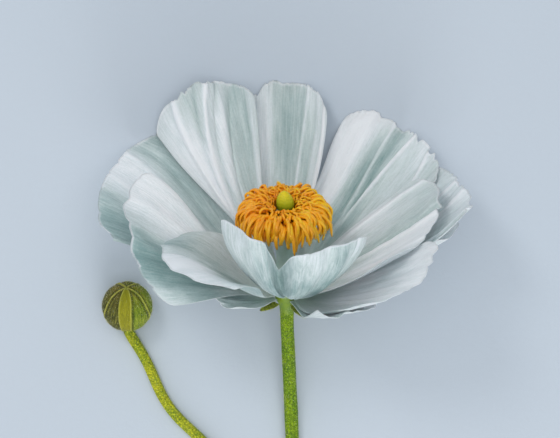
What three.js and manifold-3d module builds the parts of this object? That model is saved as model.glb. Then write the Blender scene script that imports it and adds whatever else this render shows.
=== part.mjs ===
import * as THREE from 'three';
import { mergeVertices } from 'three/addons/utils/BufferGeometryUtils.js';
import Module from 'manifold-3d';

// A cut ranunculus flower with one bud on the same stem, lying on a flat surface.
// Millimetres. X runs across the bloom, Y from the cut end of the stem to the bloom, Z up.
// The bloom is worked out in a frame of its own, with its axis along Z, the viewer's side
// at azimuth 270 and its origin where the stem meets the receptacle, and is then laid back.

// ---------------------------------------------------------------- driving dimensions

const JUNCTION = new THREE.Vector3(1.01, 26.07, 20.6);  // where the stem meets the receptacle
const HEAD_LEAN = 60;              // degrees between the bloom's axis and the vertical

const PETAL_THICKNESS = 0.6;
const CLAW_RADIUS = 4.3;           // the ring on which the petals' narrow bases stand
const CLAW_HALF_WIDTH = 1.35;
const CLAW_HEIGHT = 0.9;           // height of the claws of layer 0 above the junction
const LAYER_STEP = 1.1;            // from one layer of petals to the next

const SEPAL_THICKNESS = 0.6;

const STEM_RADIUS = 2;
const STEM_RUN = 118;              // from the junction to the cut end, seen from above
const FORK_RUN = 88;               // from the junction to the fork, seen from above
const STALK_RADIUS = 1.6;
const RECEPTACLE_RADIUS = 3.75;
const RECEPTACLE_TOP = 29.5;
const HEART_LEAN = -0.03;           // sideways lean of receptacle, stamens and pistil

const PISTIL_RADIUS = 2.9;
const PISTIL_HEIGHT = 6.6;

// root and tip: heights where a whorl's stamens start and end; rise and crest: heights that
// pull them upwards on the way; reach: how far their tips stand from the axis
const WHORLS = [
  { count: 14, root: 23.3, rise: 30.3, crest: 33.8, tip: 31.9, reach: 6.2 },
  { count: 26, root: 20.8, rise: 30.3, crest: 33.8, tip: 30.1, reach: 10.6 },
  { count: 32, root: 18.3, rise: 28.3, crest: 32.3, tip: 26.7, reach: 14.4 },
];
const FILAMENT_ROOT_RADIUS = 3.9;
const SLEEVE_FOOT = 17.3;           // where the stamens grow on the receptacle
const SLEEVE_TOP = 24.3;

const BUD_RADIUS = 7.9;
const BUD_PLACE = new THREE.Vector2(-48.6, -3.2);    // its middle, from the junction
const BUD_LEAN = 50;               // degrees between the bud's axis and the vertical
const SEAM_TURN = Math.PI / 10;    // brings one of the bud's five seams to the viewer's side

// ---------------------------------------------------------------- petals

// azimuth: where the petal stands, counted from +X towards the back
// lift:    slope at the base, in the middle and at the rim, degrees above the bloom's plane
// cup:     what the two margins add to the lift, at the base, in the middle and at the rim
// twist:   what the left margin adds to the lift and the right one loses
// curl:    what the right and the left margin add close to their edge
// round:   share of the length that the corners of the rim fall short of its middle
// lean:    share of the length that the left half is longer, and the right half shorter
// fill:    how late the petal widens; notch: place, width and depth of a cut in the rim
const PETALS = {
  petal_front: { azimuth: 273, layer: 3, length: 66, halfWidth: 21.5, lift: [19.5, 42, 62.5],
    cup: [0, 18, 5], twist: -1, curl: [2, -6.5], round: 0.2, corner: 3.8, lean: -0.01,
    fill: 1.35, notch: [-0.19, 0.12, 0.42] },
  petal_right_inner: { azimuth: -5, layer: 2, length: 50.5, halfWidth: 21.2,
    lift: [25.5, 36.5, 45], cup: [0, -0.5, 0], twist: 1, round: 0.18, corner: 2.2, lean: 0.09,
    fill: 0.7 },
  petal_back_left: { azimuth: 121, layer: 2, length: 67, halfWidth: 12.6,
    lift: [40, 38.5, 53.5], cup: [0, -10, -10.5], twist: -1, curl: [22, -13], round: 0.12,
    corner: 2.9, lean: 0.01, fill: 1.75 },
  petal_left_inner: { azimuth: 219.5, layer: 2, length: 52, halfWidth: 21.2,
    lift: [18.5, 66, 18.5], cup: [0, 1, -16], twist: -5, curl: [14, 15], round: 0.34,
    corner: 1.7, lean: 0.2, fill: 1.35 },
  petal_back: { azimuth: 88.5, layer: 1, length: 64.5, halfWidth: 11.4,
    lift: [29.5, 49.5, 52.5], cup: [0, 2.5, 3.5], twist: -2, round: 0.13, corner: 4,
    lean: 0.03, fill: 1.35 },
  petal_right_low: { azimuth: 315.5, layer: 1, length: 54.5, halfWidth: 16.3,
    lift: [13, 35.5, 35], cup: [0, 2.5, 3], twist: 5, round: 0.2, corner: 3.2, lean: 0.08,
    fill: 0.97 },
  petal_back_right: { azimuth: 46.5, layer: 1, length: 61, halfWidth: 18.4,
    lift: [21, 41.5, 35], cup: [0, 4.5, 1.5], twist: 4, round: 0.13, corner: 3.8, lean: 0.04,
    fill: 1.44 },
  petal_left_low: { azimuth: 192.5, layer: 1, length: 51.5, halfWidth: 19.5,
    lift: [21, 42.5, 32], cup: [0, 4, -11.5], twist: -9, curl: [9, -7.5], round: 0.12,
    corner: 2.9, lean: -0.11, fill: 1.73 },
  petal_right_outer: { azimuth: 7, layer: 1, length: 59.5, halfWidth: 20.8,
    lift: [15, 33.5, 45], cup: [0, -1, 5], twist: -2.5, round: 0.02, corner: 1.9, lean: -0.02,
    fill: 1.32 },
  petal_low_left: { azimuth: 209, layer: 0, length: 26, halfWidth: 6.4, lift: [5.5, 17.5, 40],
    cup: [0, -2, -7], twist: -3.5, round: 0.33, corner: 1.9, lean: -0.17, fill: 1.43 },
  petal_left_outer: { azimuth: 158, layer: 0, length: 61.5, halfWidth: 26.8,
    lift: [19.5, 41, 18.5], cup: [0, 9.5, -4.5], twist: -2, round: 0.06, corner: 3.4,
    lean: -0.08, fill: 1.26 },
  petal_right_under: { azimuth: 5, layer: 0, length: 53.5, halfWidth: 11.8,
    lift: [8, 32.5, 38.5], cup: [0, -1.5, -2.5], twist: -2, round: 0.24, corner: 2.1,
    lean: 0.08 },
  petal_bottom: { azimuth: 299.5, layer: 0, length: 39.5, halfWidth: 11.5, lift: [5, 33.5, 30],
    cup: [0, -1.5, 9], twist: -1.5, round: 0.05, lean: -0.05, fill: 1.37 },
};
const PLAIN_PETAL = { cup: [0, 0, 0], twist: 0, curl: [0, 0], round: 0.25, corner: 2.4,
  lean: 0, fill: 1, notch: null };

// azimuth, length and lift of each sepal: two lie close under the petals, three are bent back
const SEPALS = [
  { azimuth: 224, length: 6.8, lift: [2, 3, 4] },
  { azimuth: 296, length: 8, lift: [-1, 1, 3] },
  { azimuth: 8, length: 10.6, lift: [-10, -20, -30] },
  { azimuth: 80, length: 10.6, lift: [-10, -18, -26] },
  { azimuth: 152, length: 10.6, lift: [-14, -24, -34] },
];

// ---------------------------------------------------------------- materials

const material = (color, roughness) =>
  new THREE.MeshStandardMaterial({ color, roughness, metalness: 0 });
const petalMaterial = () => material(0xd5dde2, 0.6);
const leafGreen = () => material(0x86941f, 0.6);

// ---------------------------------------------------------------- general helpers

const radians = THREE.MathUtils.degToRad;

const wasm = await Module();
wasm.setup();

// Three control values blended along t from 0 to 1, as a quadratic Bezier curve.
function blend([start, middle, end], t) {
  return start * (1 - t) ** 2 + middle * 2 * t * (1 - t) + end * t ** 2;
}

// A point of the bloom's own frame, laid back and seen from the junction.
function layBack(x, y, z) {
  return new THREE.Vector3(x, y, z).applyAxisAngle(new THREE.Vector3(1, 0, 0), -radians(HEAD_LEAN));
}

// The same for receptacle, stamens and pistil, which lean a little sideways.
function heartPoint({ x, y, z }) {
  return layBack(x + HEART_LEAN * Math.max(0, z), y, z);
}

function signedVolume(points, faces) {
  let sum = 0;
  for (const [a, b, c] of faces) {
    sum += points[a].dot(new THREE.Vector3().crossVectors(points[b], points[c]));
  }
  return sum / 6;
}

// A closed geometry from its points and faces, turned so that the faces point out.
function closedGeometry(points, faces) {
  const out = signedVolume(points, faces) > 0;
  const geometry = new THREE.BufferGeometry().setFromPoints(points);
  geometry.setIndex(faces.flatMap(([a, b, c]) => (out ? [a, b, c] : [a, c, b])));
  geometry.computeVertexNormals();
  return geometry;
}

// A solid through a row of rings of points, each end closed by a fan round its middle.
function solidFromRings(rings) {
  const sides = rings[0].length;
  const points = rings.flat();
  const faces = [];
  for (let i = 0; i + 1 < rings.length; i++) {
    for (let j = 0; j < sides; j++) {
      const a = i * sides + j;
      const b = i * sides + (j + 1) % sides;
      faces.push([a, b, b + sides], [a, b + sides, a + sides]);
    }
  }
  for (const [end, flip] of [[0, true], [rings.length - 1, false]]) {
    const middle = points.length;
    points.push(rings[end].reduce((sum, p) => sum.add(p), new THREE.Vector3()).divideScalar(sides));
    for (let j = 0; j < sides; j++) {
      const a = end * sides + j;
      const b = end * sides + (j + 1) % sides;
      faces.push(flip ? [middle, b, a] : [middle, a, b]);
    }
  }
  return closedGeometry(points, faces);
}

// Rings of a tube along a list of points. The distance of its corners is a function of the
// share of the way. The ring has a flat side underneath, away from up.
function tubeRings(path, cornerRadius, sides, up = new THREE.Vector3(0, 0, 1)) {
  return path.map((point, i) => {
    const ahead = path[Math.min(i + 1, path.length - 1)];
    const behind = path[Math.max(i - 1, 0)];
    const along = new THREE.Vector3().subVectors(ahead, behind).normalize();
    const side = new THREE.Vector3().crossVectors(along, up).normalize();
    const over = new THREE.Vector3().crossVectors(side, along);
    const r = cornerRadius(i / (path.length - 1));
    return Array.from({ length: sides }, (_, j) => {
      const angle = (2 * Math.PI * (j + 0.5)) / sides;
      return point.clone()
        .addScaledVector(over, -r * Math.cos(angle))
        .addScaledVector(side, r * Math.sin(angle));
    });
  });
}

// The same rings, pressed flat where they would reach below what the flower lies on.
function restOnSurface(rings) {
  rings.flat().forEach((point) => { point.z = Math.max(point.z, -JUNCTION.z); });
  return rings;
}

// Rings about Z with relief, which is a function of the share of the height and the angle.
function turnedRings(profile, sides, relief) {
  return profile.map(([radius, height], i) =>
    Array.from({ length: sides }, (_, j) => {
      const angle = (2 * Math.PI * j) / sides;
      const r = radius + relief(i / (profile.length - 1), angle);
      return new THREE.Vector3(r * Math.cos(angle), r * Math.sin(angle), height);
    }));
}

function toManifold(geometry) {
  const bare = geometry.clone();
  bare.deleteAttribute('normal');
  bare.deleteAttribute('uv');
  const merged = mergeVertices(bare, 1e-3);
  return new wasm.Manifold(new wasm.Mesh({
    numProp: 3,
    vertProperties: new Float32Array(merged.attributes.position.array),
    triVerts: new Uint32Array(merged.index.array),
  }));
}

function fromManifold(solid) {
  const { vertProperties, triVerts } = solid.getMesh();
  const geometry = new THREE.BufferGeometry();
  geometry.setAttribute('position', new THREE.BufferAttribute(new Float32Array(vertProperties), 3));
  geometry.setIndex(new THREE.BufferAttribute(new Uint32Array(triVerts), 1));
  geometry.computeVertexNormals();
  return geometry;
}

// Joins solids, drops slivers and keeps the outer shell alone, so that hollows between the
// pieces are filled.
const SLIVER = 0.02;
function union(geometries) {
  const joined = geometries.map(toManifold).reduce((whole, piece) => whole.add(piece));
  const shells = toManifold(fromManifold(joined.simplify(SLIVER))).decompose();
  return fromManifold(shells.reduce((outer, shell) => (shell.volume() > outer.volume() ? shell : outer)));
}

// ---------------------------------------------------------------- blades: petals and sepals

const PETAL_ROWS = 7;
const PETAL_COLUMNS = 12;
const STEPS_PER_ROW = 6;
const ROW_CROWDING = 1.35;         // above 1, the rows of points stand closer towards the rim
const RESTING_HEIGHT = -JUNCTION.z + PETAL_THICKNESS / 2;   // of a petal that lies on the surface

// How far the rim of a petal reaches at v, from -1 at the right margin to 1 at the left one.
function rimReach(petal, v) {
  let reach = 1 - petal.round * (1 - Math.sqrt(1 - Math.abs(v) ** petal.corner)) + petal.lean * v;
  if (petal.notch) {
    const [place, width, depth] = petal.notch;
    reach -= depth * Math.exp(-(((v - place) / width) ** 2));
  }
  return reach;
}

// The slope of a petal at u, from 0 at the claw to 1 at the rim, and v across it.
function slope(petal, u, v) {
  const edge = Math.max(0, -v) ** 5 * petal.curl[0] + Math.max(0, v) ** 2 * petal.curl[1];
  return radians(blend(petal.lift, u) + blend(petal.cup, u) * v * v + petal.twist * v + edge * u);
}

// The place of a row of points, from 0 at the claw to 1 at the rim.
const rowPlace = (i) => 1 - (1 - Math.min(1, i / PETAL_ROWS)) ** ROW_CROWDING;

// One line of points from a petal's claw to its rim.
function petalLine(petal, v) {
  const length = petal.length * rimReach(petal, v);
  const line = [];
  let r = CLAW_RADIUS;
  let z = CLAW_HEIGHT + LAYER_STEP * petal.layer;
  for (let i = 0; i <= PETAL_ROWS; i++) {
    const u = rowPlace(i);
    const width = CLAW_HALF_WIDTH
      + (petal.halfWidth - CLAW_HALF_WIDTH) * Math.sin((Math.PI / 2) * u ** petal.fill);
    const angle = radians(petal.azimuth) + (v * width) / r;
    line.push(layBack(r * Math.cos(angle), r * Math.sin(angle), z));
    const step = (rowPlace(i + 1) - u) / STEPS_PER_ROW;
    for (let k = 0; k < STEPS_PER_ROW; k++) {
      const rise = slope(petal, u + (k + 0.5) * step, v);
      r += Math.cos(rise) * step * length;
      z += Math.sin(rise) * step * length;
    }
  }
  return line;
}

// The middle surface of a petal, with its rim bent flat where it meets what it lies on.
function petalMiddle(petal) {
  return Array.from({ length: PETAL_COLUMNS + 1 }, (_, j) => {
    const v = Math.sin((Math.PI / 2) * ((2 * j) / PETAL_COLUMNS - 1));
    const line = petalLine(petal, v);
    line.forEach((point) => { point.z = Math.max(point.z, RESTING_HEIGHT); });
    return line;
  });
}

// A thin solid on both sides of a grid of points, cut into triangles alike on both faces.
function bladeSolid(grid, thickness) {
  const columns = grid.length;
  const rows = grid[0].length;
  const at = (i, j) => grid[THREE.MathUtils.clamp(i, 0, columns - 1)][THREE.MathUtils.clamp(j, 0, rows - 1)];
  const top = [];
  const bottom = [];
  for (let i = 0; i < columns; i++) {
    for (let j = 0; j < rows; j++) {
      const across = new THREE.Vector3().subVectors(at(i + 1, j), at(i - 1, j));
      const along = new THREE.Vector3().subVectors(at(i, j + 1), at(i, j - 1));
      const normal = along.cross(across).normalize();
      if (grid[i][j].z <= RESTING_HEIGHT) normal.set(0, 0, Math.sign(normal.z));
      normal.multiplyScalar(thickness / 2);
      top.push(grid[i][j].clone().add(normal));
      bottom.push(grid[i][j].clone().sub(normal));
    }
  }
  const shift = top.length;
  const faces = [];
  for (let i = 0; i + 1 < columns; i++) {
    for (let j = 0; j + 1 < rows; j++) {
      const a = i * rows + j;
      const [b, c, d] = [a + rows, a + rows + 1, a + 1];
      faces.push([a, b, c], [a, c, d]);
      faces.push([a + shift, c + shift, b + shift], [a + shift, d + shift, c + shift]);
    }
  }
  const wall = (a, b) => faces.push([b, a, a + shift], [b, a + shift, b + shift]);
  for (let i = 0; i + 1 < columns; i++) {
    wall(i * rows, (i + 1) * rows);
    wall((i + 2) * rows - 1, (i + 1) * rows - 1);
  }
  for (let j = 0; j + 1 < rows; j++) {
    wall(j + 1, j);
    wall((columns - 1) * rows + j, (columns - 1) * rows + j + 1);
  }
  return closedGeometry([...top, ...bottom], faces);
}

// A narrow boat-shaped blade under the petals.
function sepalMiddle({ azimuth, length, lift }) {
  const rows = 6;
  const columns = 4;
  const root = { radius: 4.2, height: -0.5, halfWidth: 0.9 };
  const widest = 1.9;
  const tipHalfWidth = 0.35;
  return Array.from({ length: columns + 1 }, (_, j) => {
    const v = (2 * j) / columns - 1;
    let r = root.radius;
    let z = root.height;
    const line = [];
    for (let i = 0; i <= rows; i++) {
      const u = i / rows;
      const width = root.halfWidth * (1 - u) + tipHalfWidth * u
        + (widest - root.halfWidth) * Math.sin(Math.PI * u);
      const angle = radians(azimuth) + (v * width) / r;
      line.push(layBack(r * Math.cos(angle), r * Math.sin(angle), z + 0.35 * v * v * width / widest));
      const rise = radians(blend(lift, u));
      r += (Math.cos(rise) * length) / rows;
      z += (Math.sin(rise) * length) / rows;
    }
    return line;
  });
}

// ---------------------------------------------------------------- stem, receptacle, stalk

// The stem drops from the receptacle along the bloom's axis and then lies on the surface.
function stemPath() {
  const down = layBack(0, 0, -1);
  const rest = STEM_RADIUS - JUNCTION.z;
  return new THREE.CatmullRomCurve3([
    down.clone().multiplyScalar(-1.5),
    down.clone().multiplyScalar(8),
    new THREE.Vector3(0.5, -19, -11),
    new THREE.Vector3(1.2, -34, -16.8),
    new THREE.Vector3(1.8, -50, rest),
    new THREE.Vector3(2.2, -FORK_RUN + 14, rest),
    new THREE.Vector3(1.2, -FORK_RUN, rest),
    new THREE.Vector3(0.4, -STEM_RUN, rest),
  ], false, 'centripetal').getPoints(26);
}

function stemRadius(t) {
  const neck = 0.25 * Math.max(0, 1 - t / 0.12);
  const fork = 0.45 * Math.exp(-(((t - 0.77) / 0.035) ** 2));
  return STEM_RADIUS + neck + fork + 0.1 * t;
}

// The bud's stalk leaves the fork and runs beside the stem to the base of the bud.
function stalkPath() {
  const rest = STALK_RADIUS - JUNCTION.z;
  return new THREE.CatmullRomCurve3([
    new THREE.Vector3(1.2, -FORK_RUN, STEM_RADIUS - JUNCTION.z),
    new THREE.Vector3(-4.5, -FORK_RUN + 11, rest + 0.3),
    new THREE.Vector3(-21, -FORK_RUN + 38, rest),
    new THREE.Vector3(-36.2, -34, rest),
    new THREE.Vector3(-43.4, -19.5, rest),
    budPoint(0, 0, -1.22),
    budPoint(0, 0, -0.99),
  ], false, 'centripetal').getPoints(24);
}

// The conical head of the stem: sepals and petals stand round its foot, the stamens round
// its neck and the pistil on its top.
function receptacle() {
  const profile = [[2.1, -5], [2.3, -3], [2.8, -1.4], [3.4, -0.4], [RECEPTACLE_RADIUS, 0.8],
    [RECEPTACLE_RADIUS, 5.6], [3.3, 7.8], [2.9, 11], [2.7, 20], [2.6, 25], [2.5, RECEPTACLE_TOP]];
  const rings = turnedRings(profile, 16, () => 0);
  return solidFromRings(rings.map((ring) => ring.map(heartPoint)));
}

function stem() {
  const main = solidFromRings(restOnSurface(tubeRings(stemPath(), stemRadius, 10)));
  const stalk = solidFromRings(restOnSurface(tubeRings(stalkPath(), () => STALK_RADIUS, 8)));
  return union([main, stalk, receptacle()]);
}

// ---------------------------------------------------------------- pistil and stamens

// An egg-shaped head of small carpels in crossing spirals.
function pistil() {
  const rows = 11;
  const sides = 20;
  const carpelRelief = 0.16;
  const foot = RECEPTACLE_TOP + 0.3;
  const profile = Array.from({ length: rows + 1 }, (_, i) => {
    const t = i / rows;
    const swell = (1 - (1 - t) ** 3 * 0.35) * (1 - t ** 3.2) ** 0.5;
    return [Math.max(0.35, PISTIL_RADIUS * swell), foot + PISTIL_HEIGHT * t];
  });
  const spiral = (t, angle) =>
    carpelRelief * Math.cos(8 * angle + 14 * t) * Math.cos(8 * angle - 20 * t) * Math.sin(Math.PI * t);
  const rings = turnedRings(profile, sides, spiral);
  return solidFromRings(rings.map((ring) => ring.map(heartPoint)));
}

// One stamen: a filament that rises from the neck of the receptacle and an anther that
// arches outwards and droops.
function stamen({ root, rise, crest, tip, reach }, azimuth, sway) {
  const steps = 4;
  const curve = new THREE.CubicBezierCurve3(
    new THREE.Vector3(FILAMENT_ROOT_RADIUS, 0, root),
    new THREE.Vector3(FILAMENT_ROOT_RADIUS + 0.11 * reach, 0, rise),
    new THREE.Vector3(0.8 * reach, 0.4 * sway, crest),
    new THREE.Vector3(reach, sway, tip),
  );
  const path = curve.getPoints(steps).map((p) =>
    p.applyAxisAngle(new THREE.Vector3(0, 0, 1), azimuth));
  const outward = new THREE.Vector3(Math.cos(azimuth), Math.sin(azimuth), 0.4);
  const width = (s) => 0.4 + 0.34 * Math.sin(Math.PI * Math.min(1, 0.85 * s)) ** 2;
  const rings = tubeRings(path, width, 3, outward);
  return solidFromRings(rings.map((ring) => ring.map(heartPoint)));
}

// Whorls of stamens, one outside the other, on a sleeve round the neck of the receptacle.
function stamens() {
  const sleeveProfile = [[3.2, SLEEVE_FOOT], [4.4, SLEEVE_FOOT], [4.7, (SLEEVE_FOOT + SLEEVE_TOP) / 2],
    [4.3, SLEEVE_TOP], [3.2, SLEEVE_TOP], [3.2, SLEEVE_FOOT]];
  const sleeve = new THREE.LatheGeometry(sleeveProfile.map(([r, z]) => new THREE.Vector2(r, z)), 18);
  sleeve.rotateX(Math.PI / 2);
  const corners = sleeve.attributes.position;
  for (let i = 0; i < corners.count; i++) {
    const corner = heartPoint(new THREE.Vector3().fromBufferAttribute(corners, i));
    corners.setXYZ(i, corner.x, corner.y, corner.z);
  }
  const pieces = [sleeve];
  WHORLS.forEach((whorl, i) => {
    for (let k = 0; k < whorl.count; k++) {
      const azimuth = (2 * Math.PI * (k + 0.37 * i)) / whorl.count;
      pieces.push(stamen(whorl, azimuth, 0.3 * Math.sin(2.4 * k + i)));
    }
  });
  return union(pieces);
}

// ---------------------------------------------------------------- bud

// A point of the bud, in its own radii along its own axes, seen from the junction.
function budPoint(x, y, z) {
  return new THREE.Vector3(x, y, z)
    .multiplyScalar(BUD_RADIUS)
    .applyAxisAngle(new THREE.Vector3(1, 0, 0), -radians(BUD_LEAN))
    .add(new THREE.Vector3(BUD_PLACE.x, BUD_PLACE.y, 0.965 * BUD_RADIUS - JUNCTION.z));
}

// Five closed sepals as relief on a round bud: a raised seam where two of them meet, which
// ends in the tip, and a shallow furrow on each side of it.
function bud() {
  const rows = 14;
  const sides = 30;
  const rings = [];
  for (let i = 0; i <= rows; i++) {
    const polar = Math.PI * (0.07 + (0.90 * i) / rows);
    const ring = [];
    for (let j = 0; j < sides; j++) {
      const angle = (2 * Math.PI * j) / sides;
      const turned = angle + SEAM_TURN;
      const seam = Math.cos(5 * turned / 2) ** 8;
      const furrow = Math.sin(5 * turned) ** 2;
      const r = (1 + (0.045 * seam - 0.02 * furrow) * Math.sin(polar) ** 0.5) * 0.955;
      ring.push(budPoint(
        r * Math.sin(polar) * Math.cos(angle),
        r * Math.sin(polar) * Math.sin(angle),
        -r * Math.cos(polar),
      ));
    }
    rings.push(ring);
  }
  return solidFromRings(restOnSurface(rings));
}

// ---------------------------------------------------------------- the flower

const flower = new THREE.Group();

function addPiece(name, geometry, surface) {
  const mesh = new THREE.Mesh(geometry, surface);
  mesh.name = name;
  mesh.position.copy(JUNCTION);
  flower.add(mesh);
}

for (const [name, shape] of Object.entries(PETALS)) {
  const petal = { ...PLAIN_PETAL, ...shape };
  addPiece(name, bladeSolid(petalMiddle(petal), PETAL_THICKNESS), petalMaterial());
}
SEPALS.forEach((sepal, i) => {
  addPiece(`sepal_${i + 1}`, bladeSolid(sepalMiddle(sepal), SEPAL_THICKNESS), material(0x8a8a35, 0.7));
});
addPiece('stem', stem(), leafGreen());
addPiece('pistil', pistil(), material(0xa9ab28, 0.55));
addPiece('stamens', stamens(), material(0xf39a16, 0.6));
addPiece('bud', bud(), material(0x6f7a22, 0.65));

export default flower;
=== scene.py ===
import math

import bpy
import numpy as np
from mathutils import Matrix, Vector


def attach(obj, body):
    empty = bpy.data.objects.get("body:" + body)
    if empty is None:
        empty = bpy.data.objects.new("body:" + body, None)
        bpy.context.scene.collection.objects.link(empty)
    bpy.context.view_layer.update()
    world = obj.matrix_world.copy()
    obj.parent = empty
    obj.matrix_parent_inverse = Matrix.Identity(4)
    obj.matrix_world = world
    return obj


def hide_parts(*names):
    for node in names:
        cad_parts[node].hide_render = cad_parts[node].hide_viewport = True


# A cut ranunculus flower with one bud on the same stem, seen from straight above.
# Sizes are in millimetres and angles in degrees. Each piece repeats the form of the solid
# that it replaces and adds what is too fine for it.

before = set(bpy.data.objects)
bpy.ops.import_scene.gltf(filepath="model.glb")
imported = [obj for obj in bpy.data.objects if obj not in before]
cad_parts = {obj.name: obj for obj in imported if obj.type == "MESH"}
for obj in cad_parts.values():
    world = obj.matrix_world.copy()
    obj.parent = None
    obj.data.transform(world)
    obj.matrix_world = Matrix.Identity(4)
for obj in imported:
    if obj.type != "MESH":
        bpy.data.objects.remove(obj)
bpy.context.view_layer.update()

# ---- driving dimensions

MM = 0.001  # Blender's metres in a millimetre

JUNCTION = np.array([1.01, 26.07, 20.6])  # where the stem meets the receptacle
HEAD_LEAN = 60  # between the bloom's axis and the vertical

CLAW_RADIUS = 4.3  # the ring on which the petals' narrow bases stand
CLAW_HALF_WIDTH = 1.35
CLAW_HEIGHT = 0.9
LAYER_STEP = 1.1
PETAL_THICKNESS = 0.36
MARGIN_THICKNESS = 0.14
PETAL_ROWS = 90
PETAL_COLUMNS = 110

SEPAL_THICKNESS = 0.5

STEM_RADIUS = 2
STEM_RUN = 118
FORK_RUN = 88
STALK_RADIUS = 1.6
RECEPTACLE_RADIUS = 3.75
RECEPTACLE_TOP = 29.5
HEART_LEAN = -0.03  # sideways lean of receptacle, stamens and pistil

PISTIL_RADIUS = 3
PISTIL_HEIGHT = 6.6
PISTIL_SHIFT = 0.5  # how far its foot stands aside from the middle

BUD_RADIUS = 7.9
BUD_PLACE = (-48.6, -3.2)  # its middle, from the junction
BUD_HEIGHT = 0.965  # of its middle above the floor, in its own radii
BUD_LEAN = 50

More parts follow.
